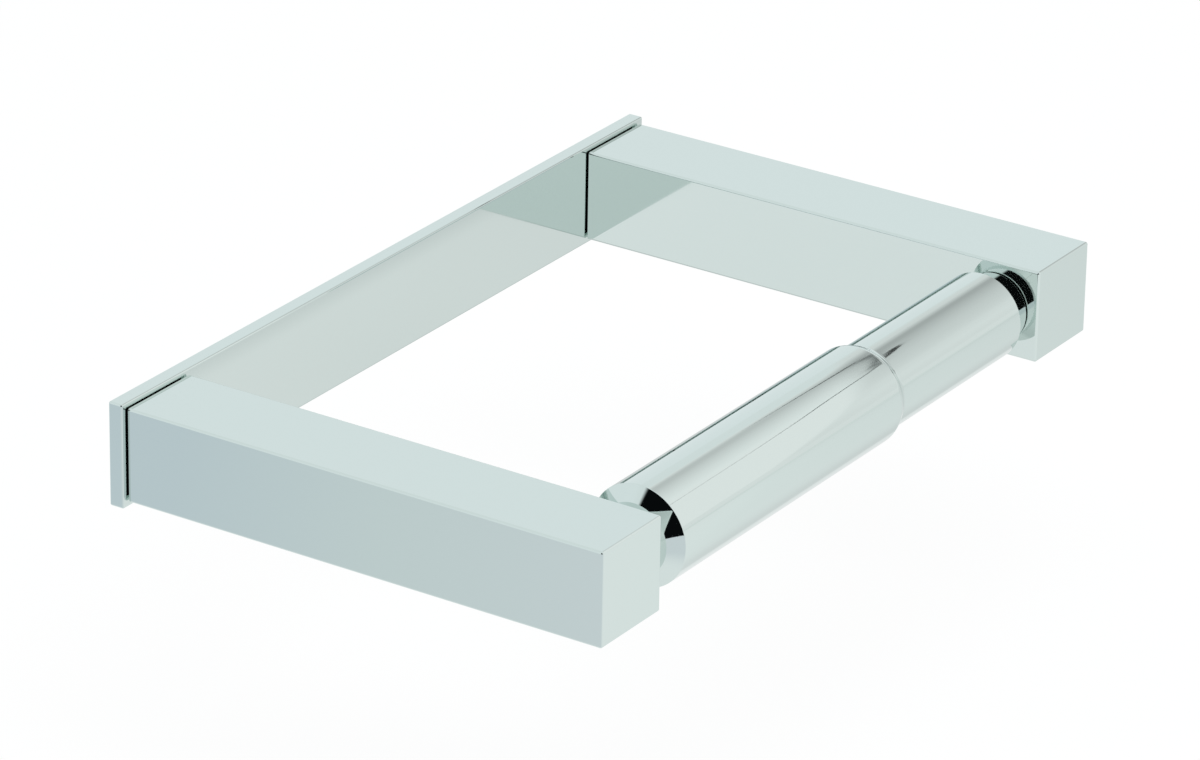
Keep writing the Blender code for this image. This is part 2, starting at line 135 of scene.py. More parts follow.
def brightChrome(name):
    # bright chrome on polished brass: a mirror with a cold cast, broad patches a little less sharp from the
    # polishing wheel, and a ripple in the plating that only bends a reflected edge
    look = chromeLook
    material, tree = emptyMaterial(name)
    place = addNode(tree, "ShaderNodeTexCoord").outputs["Object"]
    patches = addNode(tree, "ShaderNodeTexNoise", {"Scale": 1 / (look["hazeSize"] * mm), "Detail": 3.0},
                      {"Vector": place})
    gloss = addNode(tree, "ShaderNodeMapRange",
                    {"From Min": look["hazeSpread"][0], "From Max": look["hazeSpread"][1],
                     "To Min": look["roughness"], "To Max": look["hazeRoughness"]},
                    {"Value": patches.outputs["Fac"]})
    ripple = addNode(tree, "ShaderNodeTexNoise", {"Scale": 1 / (look["rippleSize"] * mm), "Detail": 1.0},
                     {"Vector": place})
    bump = addNode(tree, "ShaderNodeBump", {"Strength": 1.0, "Distance": look["rippleHeight"] * mm},
                   {"Height": ripple.outputs["Fac"]})
    metal = addNode(tree, "ShaderNodeBsdfPrincipled", {"Base Color": linear(look["colour"]), "Metallic": 1.0},
                    {"Roughness": gloss.outputs["Result"], "Normal": bump.outputs["Normal"]})
    addNode(tree, "ShaderNodeOutputMaterial", links={"Surface": metal.outputs["BSDF"]})
    return material


brassLook = {
    "clean": "#C9A45F",
    "tarnished": "#9C7A40",
    "toolMark": 0.5,
    "toolMarkDepth": 0.01,
    "stainSize": 3.0,
    "roughness": 0.3,
}


def milledBrass(name):
    # milled brass bar: fine straight tool marks, and a yellow that has gone brown in places
    look = brassLook
    material, tree = emptyMaterial(name)
    place = addNode(tree, "ShaderNodeTexCoord").outputs["Object"]
    # a wave texture has a band every 2 pi / 20 of its scaled length
    marks = addNode(tree, "ShaderNodeTexWave",
                    {"bands_direction": "Z", "Scale": 2 * math.pi / 20 / (look["toolMark"] * mm),
                     "Distortion": 1.0}, {"Vector": place})
    stain = addNode(tree, "ShaderNodeTexNoise", {"Scale": 1 / (look["stainSize"] * mm), "Detail": 4.0},
                    {"Vector": place})
    colour = addNode(tree, "ShaderNodeMix",
                     {"data_type": "RGBA", mixFirst: linear(look["clean"]),
                      mixSecond: linear(look["tarnished"])},
                     {mixShare: stain.outputs["Fac"]})
    bump = addNode(tree, "ShaderNodeBump", {"Strength": 0.5, "Distance": look["toolMarkDepth"] * mm},
                   {"Height": marks.outputs["Fac"]})
    metal = addNode(tree, "ShaderNodeBsdfPrincipled", {"Metallic": 1.0, "Roughness": look["roughness"]},
                    {"Base Color": colour.outputs[mixResult], "Normal": bump.outputs["Normal"]})
    addNode(tree, "ShaderNodeOutputMaterial", links={"Surface": metal.outputs["BSDF"]})
    return material


steelLook = {
    "bright": "#ABABAD",
    "oily": "#737377",
    "grainSize": 0.3,
    "grainDepth": 0.005,
    "patchSize": 2.0,
    "roughness": 0.32,
}


def bareSteel(name):
    # bare drawn and turned steel: a fine grain, and darker patches where oil has stayed
    look = steelLook
    material, tree = emptyMaterial(name)
    place = addNode(tree, "ShaderNodeTexCoord").outputs["Object"]
    grain = addNode(tree, "ShaderNodeTexNoise", {"Scale": 1 / (look["grainSize"] * mm), "Detail": 2.0},
                    {"Vector": place})
    oil = addNode(tree, "ShaderNodeTexNoise", {"Scale": 1 / (look["patchSize"] * mm), "Detail": 3.0},
                  {"Vector": place})
    colour = addNode(tree, "ShaderNodeMix",
                     {"data_type": "RGBA", mixFirst: linear(look["bright"]),
                      mixSecond: linear(look["oily"])},
                     {mixShare: oil.outputs["Fac"]})
    bump = addNode(tree, "ShaderNodeBump", {"Strength": 0.3, "Distance": look["grainDepth"] * mm},
                   {"Height": grain.outputs["Fac"]})
    metal = addNode(tree, "ShaderNodeBsdfPrincipled", {"Metallic": 1.0, "Roughness": look["roughness"]},
                    {"Base Color": colour.outputs[mixResult], "Normal": bump.outputs["Normal"]})
    addNode(tree, "ShaderNodeOutputMaterial", links={"Surface": metal.outputs["BSDF"]})
    return material


nylonLook = {
    "pale": "#EDEBE3",
    "dark": "#DAD7CB",
    "mottleSize": 3.0,
    "roughness": 0.42,
    "ior": 1.53,
    "milkiness": 0.1,
    "depth": 1.0,
}


def mouldedNylon(name):
    # moulded nylon: milky, softly mottled, with a dull skin that light goes a little way into
    look = nylonLook
    material, tree = emptyMaterial(name)
    place = addNode(tree, "ShaderNodeTexCoord").outputs["Object"]
    mottle = addNode(tree, "ShaderNodeTexNoise", {"Scale": 1 / (look["mottleSize"] * mm), "Detail": 3.0},
                     {"Vector": place})
    colour = addNode(tree, "ShaderNodeMix",
                     {"data_type": "RGBA", mixFirst: linear(look["pale"]),
                      mixSecond: linear(look["dark"])},
                     {mixShare: mottle.outputs["Fac"]})
    plastic = addNode(tree, "ShaderNodeBsdfPrincipled",
                      {"Roughness": look["roughness"], "IOR": look["ior"],
                       "Subsurface Weight": look["milkiness"], "Subsurface Scale": look["depth"] * mm},
                      {"Base Color": colour.outputs[mixResult]})
    addNode(tree, "ShaderNodeOutputMaterial", links={"Surface": plastic.outputs["BSDF"]})
    return material


chrome = brightChrome("bright chrome on polished brass")
brass = milledBrass("milled brass")
steel = bareSteel("bare steel")
nylon = mouldedNylon("moulded nylon")
print("finishes made")


# surfaces

def loftedMesh(name, rings, firstPole, lastPole, cornerNormals=None):
    # rings is a grid of points, one row for each closed ring. Points i and i + 1 of a row make a face with
    # the same two of the next row, and each end closes in a fan on its pole point. cornerNormals holds, for
    # each strip of faces, the normals of its first and second side at each point round
    rows, count = rings.shape[:2]
    points = np.concatenate([[firstPole], rings.reshape(-1, 3), [lastPole]])
    index = 1 + np.arange(rows * count).reshape(rows, count)
    after = np.roll(index, -1, axis=1)
    last = len(points) - 1
    strips = np.stack([index[:-1], index[1:], after[1:], after[:-1]], axis=-1).reshape(-1, 4)
    startFan = np.stack([np.zeros(count, int), index[0], after[0]], axis=-1)
    endFan = np.stack([index[-1], np.full(count, last), after[-1]], axis=-1)
    mesh = bpy.data.meshes.new(name)
    mesh.from_pydata(points.tolist(), [], startFan.tolist() + strips.tolist() + endFan.tolist())
    mesh.polygons.foreach_set("use_smooth", np.ones(len(mesh.polygons), bool))
    if cornerNormals is not None:
        first, second = cornerNormals
        firstNext, secondNext = np.roll(first, -1, axis=1), np.roll(second, -1, axis=1)
        middle = np.stack([first, second, secondNext, firstNext], axis=2)[1:-1].reshape(-1, 3)
        start = np.stack([first[0], second[0], secondNext[0]], axis=1).reshape(-1, 3)
        end = np.stack([first[-1], second[-1], firstNext[-1]], axis=1).reshape(-1, 3)
        mesh.normals_split_custom_set(np.concatenate([start, middle, end]).tolist())
    return mesh


def addPiece(mesh, finish):
    # an object at the origin for the mesh, in the mesh's own name and one finish
    mesh.materials.append(finish)
    piece = bpy.data.objects.new(mesh.name, mesh)
    scene.collection.objects.link(piece)
    return piece


def straight(start, end, steps=1):
    # points of a straight stretch of a profile, start + (end - start) s; the normal is on its right
    share = np.linspace(0, 1, steps + 1)[:, None]
    start, end = np.array(start, float), np.array(end, float)
    along = (end - start) / np.linalg.norm(end - start)
    return start + (end - start) * share, np.tile([along[1], -along[0]], (steps + 1, 1))


def rounded(centre, radius, fromAngle, toAngle, steps):
    # centre + radius (cos a, sin a), where the angle a grows evenly; the normal points away from the centre
    angle = np.radians(np.linspace(fromAngle, toAngle, steps + 1))
    normal = np.stack([np.cos(angle), np.sin(angle)], axis=1)
    return np.array(centre) + radius * normal, normal


def swelling(start, end, steps):
    # radius = start + (end - start) (1 - cos(pi s)) / 2 over the share s of the way; the normal is on its
    # right, across the slope (end - start) pi / 2 sin(pi s)
    share = np.linspace(0, 1, steps + 1)
    rise, run = end[1] - start[1], end[0] - start[0]
    points = np.stack([start[0] + run * share, start[1] + rise * (1 - np.cos(np.pi * share)) / 2], axis=1)
    normal = np.stack([rise * np.pi / 2 * np.sin(np.pi * share), np.full_like(share, -run)], axis=1)
    return points, normal / np.linalg.norm(normal, axis=1)[:, None]


def mirrored(stretches):
    # (-along, radius): the same profile for the end that points the other way, run backwards so that its
    # normals stay outside
    return [(points[::-1] * [-1, 1], normal[::-1] * [-1, 1]) for points, normal in reversed(stretches)]


def turned(name, stretches, centre, count, axis="x"):
    # a profile of (along, radius) turned about a line: (along, radius cos a, radius sin a) over the angle a,
    # with the axes changed round for a line along z. Each stretch keeps its own normals, so its ends are
    # crisp
    profile = np.concatenate([stretches[0][0]] + [points[1:] for points, normal in stretches[1:]])
    first = np.concatenate([normal[:-1] for points, normal in stretches])
    second = np.concatenate([normal[1:] for points, normal in stretches])
    angle = np.linspace(0, 2 * math.pi, count, endpoint=False)

    def around(rows):
        grid = np.stack([np.repeat(rows[:, :1], count, axis=1), rows[:, 1:] * np.cos(angle),
                         rows[:, 1:] * np.sin(angle)], axis=-1)
        return np.roll(grid, -1, axis=-1) if axis == "z" else grid

    grid = (around(profile) + np.array(centre)) * mm
    return loftedMesh(name, grid[1:-1], grid[0, 0], grid[-1, 0], (around(first), around(second)))


# roller

roller = {
    "axisY": -93.5,
    "around": 144,  # points round each ring
    "alongSteps": 12,
    "wideEnd": 56.5,
    "narrowEnd": 58.0,
    "coneLength": 1.75,
    "coneEdge": 0.15,
    "coneEdgeSteps": 8,
    "wideRadius": 9.6,
    "wideBore": 8.9,
    "shoulderStart": 14.0,
    "shoulderEnd": 17.0,
    "shoulderSteps": 32,
    "lipRadius": 8.68,
    "mouthBore": 8.6,
    "narrowRadius": 8.5,
    "narrowBore": 7.7,
    "narrowStart": -8.0,
    "plugDepth": 10.4,
    "springSeatRadius": 4.0,
    "springSeatDepth": 14.4,
    "neckRadius": 6.8,
    "neckEdge": 0.15,
    "neckEdgeSteps": 6,
    "neckEnd": 63.0,
    "pinRadius": 3.3,
    "pinEnd": 68.0,
    "pinChamfer": 0.6,
}


def rollerEnd(end, radius):
    # from the pin's tip down its side, along the neck, out over the cone and round its edge. The cone slants
    # by atan(length / (radius - neck)), and the edge is an arc between the cone's normal and the tube's, so
    # its centre lies edge tan((90 - slant) / 2) in from the end
    r = roller
    edge, coneEnd = r["coneEdge"], end + r["coneLength"]
    slant = math.degrees(math.atan(r["coneLength"] / (radius - r["neckRadius"])))
    corner = end - edge * math.tan(math.radians(90 - slant) / 2)
    edgeStart = (corner + edge * math.cos(math.radians(slant)),
                 radius - edge + edge * math.sin(math.radians(slant)))
    chamfer = r["pinEnd"] - r["pinChamfer"], r["pinRadius"]
    neckCorner = r["neckEnd"] - r["neckEdge"], r["neckRadius"] - r["neckEdge"]
    return [
        straight((r["pinEnd"], 0), (r["pinEnd"], r["pinRadius"] - r["pinChamfer"])),
        straight((r["pinEnd"], r["pinRadius"] - r["pinChamfer"]), chamfer),
        straight(chamfer, (r["neckEnd"], r["pinRadius"])),
        straight((r["neckEnd"], r["pinRadius"]), (r["neckEnd"], neckCorner[1])),
        rounded(neckCorner, r["neckEdge"], 0, 90, r["neckEdgeSteps"]),
        straight((neckCorner[0], r["neckRadius"]), (coneEnd, r["neckRadius"])),
        straight((coneEnd, r["neckRadius"]), edgeStart),
        rounded((corner, radius - edge), edge, slant, 90, r["coneEdgeSteps"]),
    ], corner


def springSeat(end, bore):
    # from the bore's wall over the end cap's inner face, then down its spigot and over the tip to the middle
    face, tip, seat = end - roller["plugDepth"], end - roller["springSeatDepth"], roller["springSeatRadius"]
    return [
        straight((face, bore), (face, seat)),
        straight((face, seat), (tip, seat)),
        straight((tip, seat), (tip, 0)),
    ]


def makeRoller():
    # each half is one closed profile, from the pin's tip over the outside and back through the bore, or the
    # other way round, turned about the roller's axis
    r = roller
    centre = (0, r["axisY"], 0)
    end, corner = rollerEnd(r["narrowEnd"], r["narrowRadius"])
    seat = springSeat(r["narrowEnd"], r["narrowBore"])
    start = r["narrowStart"]
    side = [
        straight((corner, r["narrowRadius"]), (start, r["narrowRadius"]), r["alongSteps"]),
        straight((start, r["narrowRadius"]), (start, r["narrowBore"])),
        straight((start, r["narrowBore"]), (seat[0][0][0, 0], r["narrowBore"])),
    ]
    narrow = addPiece(turned("rollerNarrowHalf", end + side + seat, centre, r["around"]), chrome)
    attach(narrow, "roller_inner")
    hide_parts("roller_inner_tube", "roller_inner_cap")

    end, corner = rollerEnd(r["wideEnd"], r["wideRadius"])
    seat = mirrored(springSeat(r["wideEnd"], r["wideBore"]))
    start, lip = r["shoulderStart"], r["shoulderEnd"]
    side = [
        straight((seat[-1][0][-1, 0], r["wideBore"]), (start, r["wideBore"])),
        straight((start, r["wideBore"]), (start, r["mouthBore"])),
        straight((start, r["mouthBore"]), (lip, r["mouthBore"])),
        straight((lip, r["mouthBore"]), (lip, r["lipRadius"])),
        swelling((lip, r["lipRadius"]), (start, r["wideRadius"]), r["shoulderSteps"]),
        straight((start, r["wideRadius"]), (-corner, r["wideRadius"]), r["alongSteps"]),
    ]
    wide = addPiece(turned("rollerWideHalf", seat + side + mirrored(end), centre, r["around"]), chrome)
    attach(wide, "roller_outer")
    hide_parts("roller_outer_tube", "roller_outer_cap")


makeRoller()
print("roller made")


# bushes that the roller's pins turn in

bush = {
    "mouth": 63.3,
    "boreEnd": 68.7,
    "end": 69.7,
    "bore": 3.45,
    "body": 4.65,
    "around": 96,
}


def makeBushes():
    # from the middle of the closed end, along the outside to the mouth and down the bore to its bottom,
    # turned about the roller's axis
    b = bush
    profile = [
        straight((b["end"], 0), (b["end"], b["body"])),
        straight((b["end"], b["body"]), (b["mouth"], b["body"])),
        straight((b["mouth"], b["body"]), (b["mouth"], b["bore"])),
        straight((b["mouth"], b["bore"]), (b["boreEnd"], b["bore"])),
        straight((b["boreEnd"], b["bore"]), (b["boreEnd"], 0)),
    ]
    for side, shape in (("left", mirrored(profile)), ("right", profile)):
        piece = addPiece(turned(side + "PinBush", shape, (0, roller["axisY"], 0), b["around"]), chrome)
        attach(piece, "frame")
        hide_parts(side + "_pin_bush")


makeBushes()
print("bushes made")


# arms

arm = {
    "middle": 72.3,
    "size": 18.0,
    "back": -3.3,
    "front": -102.5,
    "wall": 1.5,
    "frontWall": 2.0,
    "edge": 0.45,
    "insideEdge": 0.3,
    "backEdge": 0.15,
    "edgeSteps": 6,
    "edgeTurn": 89.0,  # just under a quarter, so that the points of a corner's last ring stay apart
    "sharpAngle": 40.0,
    "bushHole": 4.95,
    "grubHole": 2.3,
    "grubY": -11.3,
    "holeDepth": 3.0,  # how far a drill goes in from the face
    "holeStart": 1.0,  # how far outside the face it starts
    "holeAround": 64,
}


def squareTube(name, stations, middle, steps):
    # a square with round corners carried along y. A station is (y, half the square between the corners'
    # centres, corner radius): z = half sz + radius cos a and x = middle + half sx + radius sin a, over a
    # quarter turn for each corner
    y, half, radius = (np.array(stations, float)[:, column, None] for column in range(3))
    angle = np.radians(np.linspace(0, 90, steps + 1) + np.array([0, 90, 180, 270])[:, None]).ravel()
    signX = np.repeat([1, 1, -1, -1], steps + 1)
    signZ = np.repeat([1, -1, -1, 1], steps + 1)
    rings = np.stack([middle + half * signX + radius * np.sin(angle),
                      np.repeat(y, len(angle), axis=1),
                      half * signZ + radius * np.cos(angle)], axis=-1) * mm
    poles = [np.array([middle, row[0], 0]) * mm for row in (stations[0], stations[-1])]
    return loftedMesh(name, rings, *poles)


def drill(piece, name, centre, axis, radius, start, end):
    # a plain round cutter from start to end along the axis, taken away from the piece for good
    profile = [straight((end, 0), (end, radius)), straight((end, radius), (start, radius)),
               straight((start, radius), (start, 0))]
    cutter = addPiece(turned(name, profile, centre, arm["holeAround"], axis), chrome)
    hole = piece.modifiers.new(name, "BOOLEAN")
    hole.object = cutter
    hole.solver = "EXACT"
    bpy.context.view_layer.update()
    whole, drilled = piece.data, bpy.data.meshes.new_from_object(
        piece.evaluated_get(bpy.context.evaluated_depsgraph_get()))
    piece.modifiers.clear()
    piece.data = drilled
    for spare in [item for item in drilled.attributes if item.name == "custom_normal"]:
        drilled.attributes.remove(spare)
    bpy.data.meshes.remove(whole)
    bpy.data.meshes.remove(cutter.data)
    drilled.name = piece.name


def makeArm(side, sign):
    # back along the inside, round the back edge by y = back - r (1 - cos t) and corner radius
    # edge - r (1 - sin t), then along the outside and round the front edge by y = front + edge (1 - sin t)
    # and corner radius edge cos t
    a = arm
    core = a["size"] / 2 - a["edge"]
    inside = a["size"] / 2 - a["wall"] - a["insideEdge"]
    turn = np.radians(np.linspace(0, a["edgeTurn"], a["edgeSteps"] + 1))
    backEdge = np.stack([a["back"] - a["backEdge"] * (1 - np.cos(turn)), np.full_like(turn, core),
                         a["edge"] - a["backEdge"] * (1 - np.sin(turn))], axis=1)
    frontEdge = np.stack([a["front"] + a["edge"] * (1 - np.sin(turn)), np.full_like(turn, core),
                          a["edge"] * np.cos(turn)], axis=1)
    stations = [(a["front"] + a["frontWall"], inside, a["insideEdge"]),
                (a["back"], inside, a["insideEdge"]),
                *backEdge.tolist(), *frontEdge.tolist()]
    piece = addPiece(squareTube(side + "ArmShell", stations, sign * a["middle"], a["edgeSteps"]), chrome)
    innerFace, bottom = sign * (a["middle"] - a["size"] / 2), -a["size"] / 2
    drill(piece, side + "BushHole", (0, roller["axisY"], 0), "x", a["bushHole"],
          *sorted((innerFace - sign * a["holeStart"], innerFace + sign * a["holeDepth"])))
    drill(piece, side + "GrubHole", (sign * a["middle"], a["grubY"], 0), "z", a["grubHole"],
          bottom - a["holeStart"], bottom + a["holeDepth"])
    piece.data.set_sharp_from_angle(angle=math.radians(a["sharpAngle"]))
    flats = piece.modifiers.new("flat faces stay flat", "WEIGHTED_NORMAL")
    flats.keep_sharp = True
    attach(piece, "frame")
    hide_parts(side + "_arm", side + "_arm_cap")


makeArm("left", -1)
makeArm("right", 1)
print("arms made")


# pieces that keep their CAD shape

keptNodes = {"back_plate": chrome, "fixing_block": brass, "block_screw": steel, "grub_screw": steel,
             "roller_spring": steel, "guide_plug": nylon}
for nodeName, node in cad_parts.items():
    for ending, finish in keptNodes.items():
        if nodeName.endswith(ending):
            node.data.materials.clear()
            node.data.materials.append(finish)
print("plate, blocks, screws, spring and plug finished")


# studio

def rampStops(tones):
    # each (place, sRGB colour) pair as (place - first) / (last - first), its share of the way, and a linear
    # colour
    first, last = tones[0][0], tones[-1][0]
    return [((place - first) / (last - first), linear(colour)) for place, colour in tones]


floor = {
    "height": -60.0,
    "xEnds": (-400.0, 2400.0),
    "yEnds": (-1400.0, 1400.0),
    "colour": "#FAFAFA",
    "glow": 0.9,  # how much of it glows, white to the camera and painted shading in a mirror; the rest is lit and shaded
    # its painted shading in a mirror, each by the way along a line. To the right the painted light falls off
    # slowly, with a painted soft shadow of the roller and of the plate over it, and to the left it goes to a
    # cold grey painted shade
    "rightLine": (0.64, 0.77, 0),
    "right": [(-130, "#FFFFFF"), (-100, "#FCFEFE"), (-88, "#F9FBFB"), (-60, "#F6F8F8"), (-20, "#F2F4F4"),
              (20, "#EEF0F0"), (60, "#EBEDED")],
    "shadowLine": (0, 1, 0),
    "shadow": [(-140, "#F9FBFB"), (-124, "#F5F7F7"), (-108, "#EBEDED"), (-98, "#E9EBEB"), (-91, "#FFFFFF"),
               (-60, "#FFFFFF"), (-52, "#EBEDED"), (0, "#E6E8E8")],
    "leftLine": (0.654, 1, 0),
    "left": [(-155, "#DFE4E9"), (-105, "#DAE2E5"), (-56, "#D0DAE2")],
    "middle": "#F6F9FA",
    "middleToRight": (-20.0, 20.0),  # the x between which one tone goes over into the next
    "middleToLeft": (-90.0, -150.0),
}


def makeFloor():
    # a level sheet. The way along a line is the dot product of place and line
    f = floor
    (left, right), (front, back) = f["xEnds"], f["yEnds"]
    corners = [(left, front, f["height"]), (right, front, f["height"]),
               (right, back, f["height"]), (left, back, f["height"])]
    mesh = bpy.data.meshes.new("studioFloor")
    mesh.from_pydata((np.array(corners, float) * mm).tolist(), [], [(0, 1, 2, 3)])
    material, tree = emptyMaterial("matt white paper")
    place = addNode(tree, "ShaderNodeTexCoord").outputs["Object"]
    ramps = {}
    # the painted light falloff, the painted shadow and the painted cold grey shade, each a ramp along its
    # line
    for part in ("right", "shadow", "left"):
        along = addNode(tree, "ShaderNodeVectorMath", {"operation": "DOT_PRODUCT", 1: f[part + "Line"]},
                        {0: place})
        share = addNode(tree, "ShaderNodeMapRange",
                        {"From Min": f[part][0][0] * mm, "From Max": f[part][-1][0] * mm},
                        {"Value": along.outputs["Value"]})
        ramp = addNode(tree, "ShaderNodeValToRGB", {"stops": rampStops(f[part])},
                       {"Fac": share.outputs["Result"]})
        ramps[part] = ramp.outputs["Color"]
    parts = addNode(tree, "ShaderNodeSeparateXYZ", links={0: place})
    rightward, leftward = (
        addNode(tree, "ShaderNodeMapRange",
                {"interpolation_type": "SMOOTHSTEP", "From Min": start * mm, "From Max": end * mm},
                {"Value": parts.outputs["X"]})
        for start, end in (f["middleToRight"], f["middleToLeft"]))
    paintedFalloffAndShadow = addNode(tree, "ShaderNodeMix", {"data_type": "RGBA", "blend_type": "MULTIPLY", mixShare: 1.0},
                      {mixFirst: ramps["right"], mixSecond: ramps["shadow"]})
    inMiddle = addNode(tree, "ShaderNodeMix", {"data_type": "RGBA", mixFirst: linear(f["middle"])},
                       {mixShare: rightward.outputs["Result"], mixSecond: paintedFalloffAndShadow.outputs[mixResult]})
    paintedShading = addNode(tree, "ShaderNodeMix", {"data_type": "RGBA"},
                    {mixShare: leftward.outputs["Result"], mixFirst: inMiddle.outputs[mixResult],
                     mixSecond: ramps["left"]})
    # white to the camera, its painted shading in a mirror, and plain lit paper to all other rays
    rays = addNode(tree, "ShaderNodeLightPath")
    seen = addNode(tree, "ShaderNodeMix", {"data_type": "RGBA", mixSecond: (1, 1, 1, 1)},
                   {mixShare: rays.outputs["Is Camera Ray"], mixFirst: paintedShading.outputs[mixResult]})
    direct = addNode(tree, "ShaderNodeMath", {"operation": "MAXIMUM"},
                     {0: rays.outputs["Is Camera Ray"], 1: rays.outputs["Is Glossy Ray"]})
    anyWay = addNode(tree, "ShaderNodeMath", {"operation": "MAXIMUM"},
                     {0: direct.outputs[0], 1: rays.outputs["Is Transmission Ray"]})
    glowing = addNode(tree, "ShaderNodeMath", {"operation": "MULTIPLY", 1: f["glow"]},
                      {0: anyWay.outputs[0]})
    paper = addNode(tree, "ShaderNodeBsdfDiffuse", {"Color": linear(f["colour"])})
    glow = addNode(tree, "ShaderNodeEmission", {"Strength": 1.0}, {"Color": seen.outputs[mixResult]})
    both = addNode(tree, "ShaderNodeMixShader", links={0: glowing.outputs[0], 1: paper.outputs[0],
                                                       2: glow.outputs[0]})
    addNode(tree, "ShaderNodeOutputMaterial", links={"Surface": both.outputs[0]})
    addPiece(mesh, material)


room = {
    # its tone by the angle round a line along the wall, in degrees: 0 is level towards the wall, 90 straight
    # up and 180 level away from it
    "bands": [(-180, "#EEF3F2"), (0, "#F2F8FA"), (42, "#F3F9FB"), (52, "#EFF5F6"), (90, "#EFF5F6"),
              (154, "#F7F9F9"), (180, "#F5F7F7")],
    # it is dark far to the left of the holder, from level up to half way overhead, and not behind it. Along
    # an axis, the dark starts at the first number and is full at the second
    "dark": "#0B0D0E",
    "leftward": ("X", -0.55, -0.68),
    "inFront": ("Y", 0.38, 0.28),
    "overhead": ("Z", 0.85, 0.7),
}


def makeWorld():
    # the angle is atan2(z, y) of the direction, and the dark is the product of three smooth steps
    world = bpy.data.worlds.new("studioRoom")
    scene.world = world
    world.use_nodes = True
    tree = world.node_tree
    tree.nodes.clear()
    direction = addNode(tree, "ShaderNodeTexCoord").outputs["Generated"]
    parts = addNode(tree, "ShaderNodeSeparateXYZ", links={0: direction})
    angle = addNode(tree, "ShaderNodeMath", {"operation": "ARCTAN2"},
                    {0: parts.outputs["Z"], 1: parts.outputs["Y"]})
    share = addNode(tree, "ShaderNodeMapRange", {"From Min": -math.pi, "From Max": math.pi},
                    {"Value": angle.outputs[0]})
    bands = addNode(tree, "ShaderNodeValToRGB", {"stops": rampStops(room["bands"])},
                    {"Fac": share.outputs["Result"]})
    steps = []
    for key in ("leftward", "inFront", "overhead"):
        axis, start, full = room[key]
        step = addNode(tree, "ShaderNodeMapRange",
                       {"interpolation_type": "SMOOTHSTEP", "From Min": start, "From Max": full},
                       {"Value": parts.outputs[axis]})
        steps.append(step.outputs["Result"])
    corner = addNode(tree, "ShaderNodeMath", {"operation": "MULTIPLY"}, {0: steps[0], 1: steps[1]})
    dark = addNode(tree, "ShaderNodeMath", {"operation": "MULTIPLY"}, {0: corner.outputs[0], 1: steps[2]})
    tone = addNode(tree, "ShaderNodeMix", {"data_type": "RGBA", mixSecond: linear(room["dark"])},
                   {mixShare: dark.outputs[0], mixFirst: bands.outputs["Color"]})
    # white to the camera and the room's tones to all other rays
    rays = addNode(tree, "ShaderNodeLightPath")
    roomLight = addNode(tree, "ShaderNodeBackground", {"Strength": 1.0}, {"Color": tone.outputs[mixResult]})
    backdrop = addNode(tree, "ShaderNodeBackground", {"Color": (1, 1, 1, 1), "Strength": 1.0})
    both = addNode(tree, "ShaderNodeMixShader",
                   links={0: rays.outputs["Is Camera Ray"], 1: roomLight.outputs[0],
                          2: backdrop.outputs[0]})
    addNode(tree, "ShaderNodeOutputWorld", links={"Surface": both.outputs[0]})


# cards that only a mirror sees, painted reflections on the chrome: a wide grey one overhead and, each a
# little lower, a narrow dark strip and two flags
cards = {
    "height": 200.0,
    "step": 1.0,
    "greyX": (90.0, 1700.0),
    "greyY": (-1500.0, 100.0),
    # the grey card's painted reflection tone by y, as the narrow half of the roller sees it
    "tones": [(-1500, "#F2F4F4"), (-826, "#F2F4F4"), (-500, "#F5F7F7"), (-348, "#F1F3F3"),
              (-300, "#ECEEEE"), (-230, "#E6E8E8"), (-176, "#E1E3E3"), (-154, "#DDDFDF"),
              (-132, "#D9DBDB"), (-90, "#CDCFCF"), (-70, "#C6C8C8"), (-49, "#BDBFBF"), (-28, "#BCBEBE"),
              (-3, "#D5D7D7"), (25, "#EAECEC"), (53, "#ECEEEE"), (100, "#EFF5F6")],
    # the wide half sees it this many times as bright, a painted brighter reflection, but no paler than the
    # limits. A place on the roller sees the card as far to the right as the slant times its distance, which
    # tells the halves apart by x
    "lift": 1.3,
    "limits": [(-1500, "#FEFFFF"), (-60, "#FEFFFF"), (10, "#EFF5F6"), (100, "#EFF5F6")],
    "slant": 1.18,
    "wideToNarrow": (6.0, 18.0),
    # points on the strip's line, (x, y, width)
    "strip": [(150, -214, 1.5), (205, -213, 1.5), (238, -207, 2), (250, -198, 3.5), (256, -183, 5),
              (262, -177, 5), (268, -175, 5), (271, -169, 5), (268, -158, 5), (261, -143, 5), (258, -120, 5),
              (257, -98, 5), (258, -72, 5), (258, -50, 5)],
    "stripColour": "#404646",
    "flags": {
        "greyFlag": ("#2A2E2E", [(220, -16), (257, -50), (258, -40)]),
        "blackFlag": ("#050505", [(260, -100), (260, -128), (263, -130), (267, -108), (265.5, -92),
                                  (261, -86)]),
    },
}


def addCard(name, corners, faces, height, material):
    # a level card with its corners (x, y) at one height
    mesh = bpy.data.meshes.new(name)
    points = np.column_stack([corners, np.full(len(corners), height)]) * mm
    mesh.from_pydata(points.tolist(), [], faces)
    card = addPiece(mesh, material)
    card.visible_camera = card.visible_diffuse = card.visible_shadow = card.visible_transmission = False


def plainCard(name, colour):
    # card of one even tone
    material, tree = emptyMaterial(name)
    glow = addNode(tree, "ShaderNodeEmission", {"Color": linear(colour), "Strength": 1.0})
    addNode(tree, "ShaderNodeOutputMaterial", links={"Surface": glow.outputs[0]})
    return material


